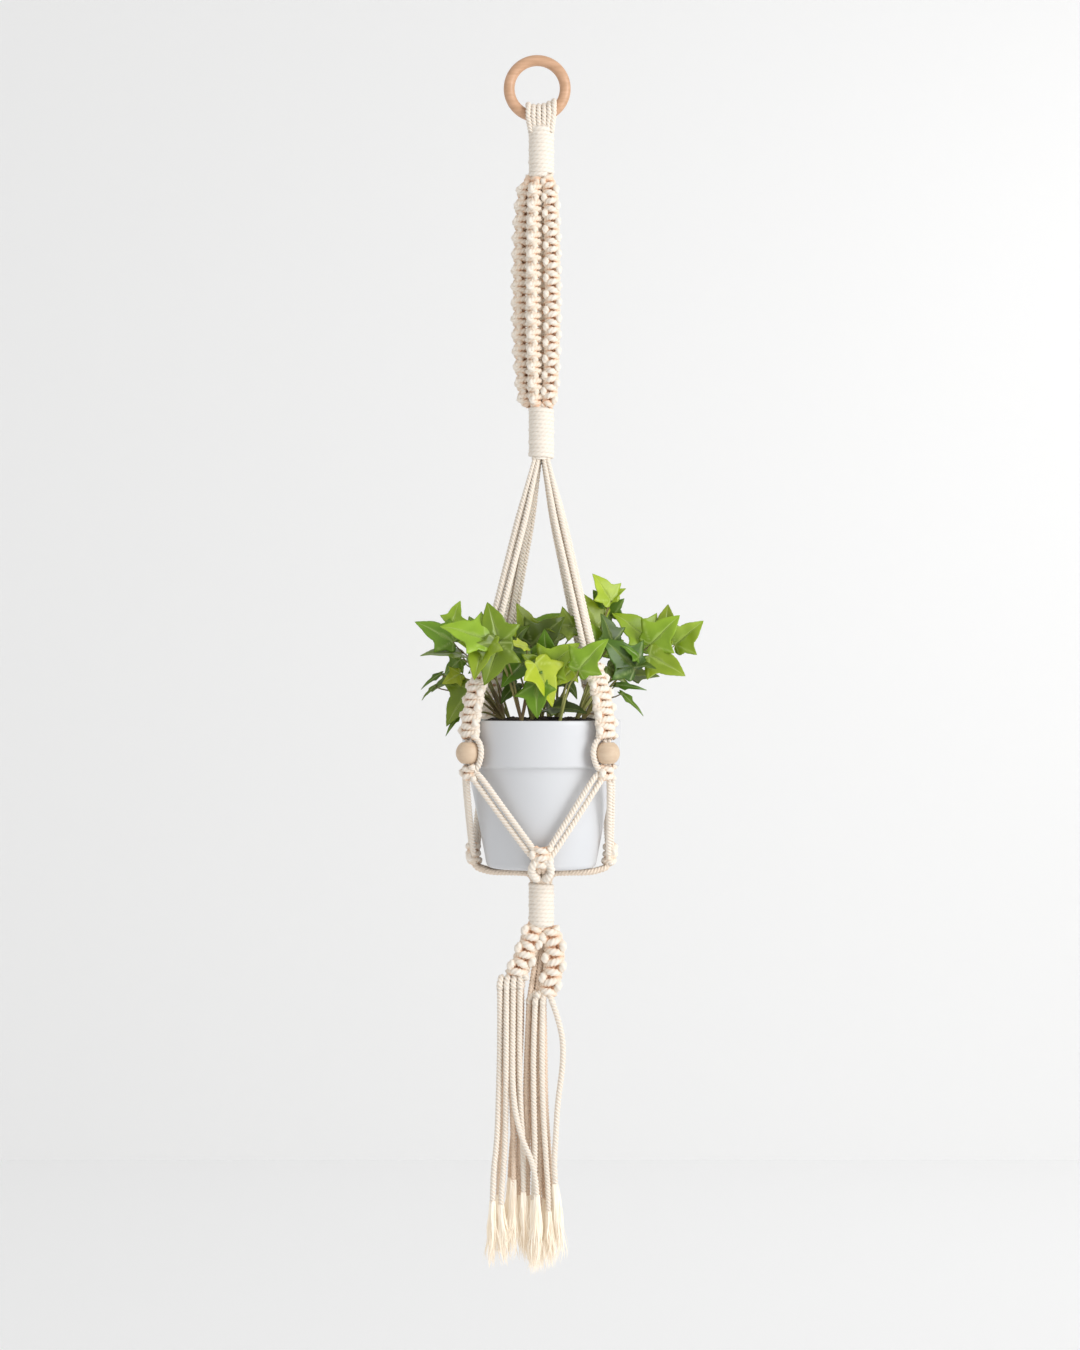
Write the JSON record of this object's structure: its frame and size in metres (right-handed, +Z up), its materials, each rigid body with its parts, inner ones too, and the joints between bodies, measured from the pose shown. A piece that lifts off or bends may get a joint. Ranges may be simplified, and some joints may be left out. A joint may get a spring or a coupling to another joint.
{
  "type": "hanging planter",
  "caption": "Knotted cotton cord plant hanger on a wooden ring, with wooden beads, a white pot of ivy in a cord basket and a long frayed tassel.",
  "frame": {"origin": "hang point: where a hook bears on the inside of the ring, at its top", "axes": "+Z up along the hanger, front faces -Y, +X to the right seen from the front"},
  "size_m": [0.2335, 0.1463, 0.9994],
  "materials": {
    "ring_wood": "satin",
    "bead_wood": "matte",
    "cotton_cord": "matte",
    "pot_white": "satin",
    "soil": "matte",
    "ivy_leaf": "satin",
    "ivy_stem": "matte"
  },
  "bodies": {
    "ring": {"wooden_ring": "ring_wood"},
    "hanger": {"ring_loops": "cotton_cord", "top_wrap": "cotton_cord", "top_bundle": "cotton_cord", "upper_sennit_right": "cotton_cord", "upper_sennit_front": "cotton_cord", "upper_sennit_left": "cotton_cord", "upper_sennit_back": "cotton_cord", "mid_wrap": "cotton_cord", "mid_bundle": "cotton_cord"},
    "basket": {"arm_cords_front_left": "cotton_cord", "arm_cords_front_right": "cotton_cord", "arm_cords_back_right": "cotton_cord", "arm_cords_back_left": "cotton_cord", "arm_sennit_front_left": "cotton_cord", "arm_sennit_front_right": "cotton_cord", "arm_sennit_back_right": "cotton_cord", "arm_sennit_back_left": "cotton_cord", "bead_knot_front_left": "cotton_cord", "bead_knot_front_right": "cotton_cord", "bead_knot_back_right": "cotton_cord", "bead_knot_back_left": "cotton_cord", "sling_cords_front_left": "cotton_cord", "sling_cords_front_right": "cotton_cord", "sling_cords_back_right": "cotton_cord", "sling_cords_back_left": "cotton_cord", "basket_knot_front": "cotton_cord", "basket_knot_right": "cotton_cord", "basket_knot_back": "cotton_cord", "basket_knot_left": "cotton_cord", "under_pot_cords": "cotton_cord", "low_wrap": "cotton_cord", "low_bundle": "cotton_cord"},
    "potted_plant": {"pot": "pot_white", "soil": "soil", "ivy_leaves": "ivy_leaf", "ivy_stems": "ivy_stem"},
    "tassel": {"tassel_knots_left": "cotton_cord", "tassel_knots_right": "cotton_cord", "strand_01": "cotton_cord", "strand_02": "cotton_cord", "strand_03": "cotton_cord", "strand_04": "cotton_cord", "strand_05": "cotton_cord", "strand_06": "cotton_cord", "strand_07": "cotton_cord", "strand_08": "cotton_cord", "strand_09": "cotton_cord", "strand_10": "cotton_cord", "strand_11": "cotton_cord", "strand_12": "cotton_cord", "strand_13": "cotton_cord", "strand_14": "cotton_cord", "strand_15": "cotton_cord", "strand_16": "cotton_cord"},
    "bead_body_front_left": {"bead_front_left": "bead_wood"},
    "bead_body_front_right": {"bead_front_right": "bead_wood"},
    "bead_body_back_right": {"bead_back_right": "bead_wood"},
    "bead_body_back_left": {"bead_back_left": "bead_wood"}
  },
  "joints": [
    {"name": "hanger_swing", "type": "hinge", "parent": "ring", "child": "hanger", "pos_m": [0, 0, -0.0379], "axis": [1, 0, 0], "range_deg": [-22, 22]},
    {"name": "basket_sway", "type": "hinge", "parent": "hanger", "child": "basket", "pos_m": [0, 0, -0.323], "axis": [0, 1, 0], "range_deg": [-12, 12]},
    {"name": "pot_turn", "type": "hinge", "parent": "basket", "child": "potted_plant", "pos_m": [0, 0, -0.6], "axis": [0, 0, 1], "range_deg": [-5, 5]},
    {"name": "tassel_swing", "type": "hinge", "parent": "basket", "child": "tassel", "pos_m": [0, 0, -0.7065], "axis": [1, 0, 0], "range_deg": [-20, 20]},
    {"name": "bead_spin_front_left", "type": "hinge", "parent": "basket", "child": "bead_body_front_left", "pos_m": [-0.05875, -0.04758, -0.5616], "axis": [0, 0, 1], "continuous": true},
    {"name": "bead_spin_front_right", "type": "hinge", "parent": "basket", "child": "bead_body_front_right", "pos_m": [0.05299, -0.05392, -0.5616], "axis": [0, 0, 1], "continuous": true},
    {"name": "bead_spin_back_right", "type": "hinge", "parent": "basket", "child": "bead_body_back_right", "pos_m": [0.04859, 0.05791, -0.5616], "axis": [0, 0, 1], "continuous": true},
    {"name": "bead_spin_back_left", "type": "hinge", "parent": "basket", "child": "bead_body_back_left", "pos_m": [-0.04336, 0.06193, -0.5616], "axis": [0, 0, 1], "continuous": true}
  ]
}
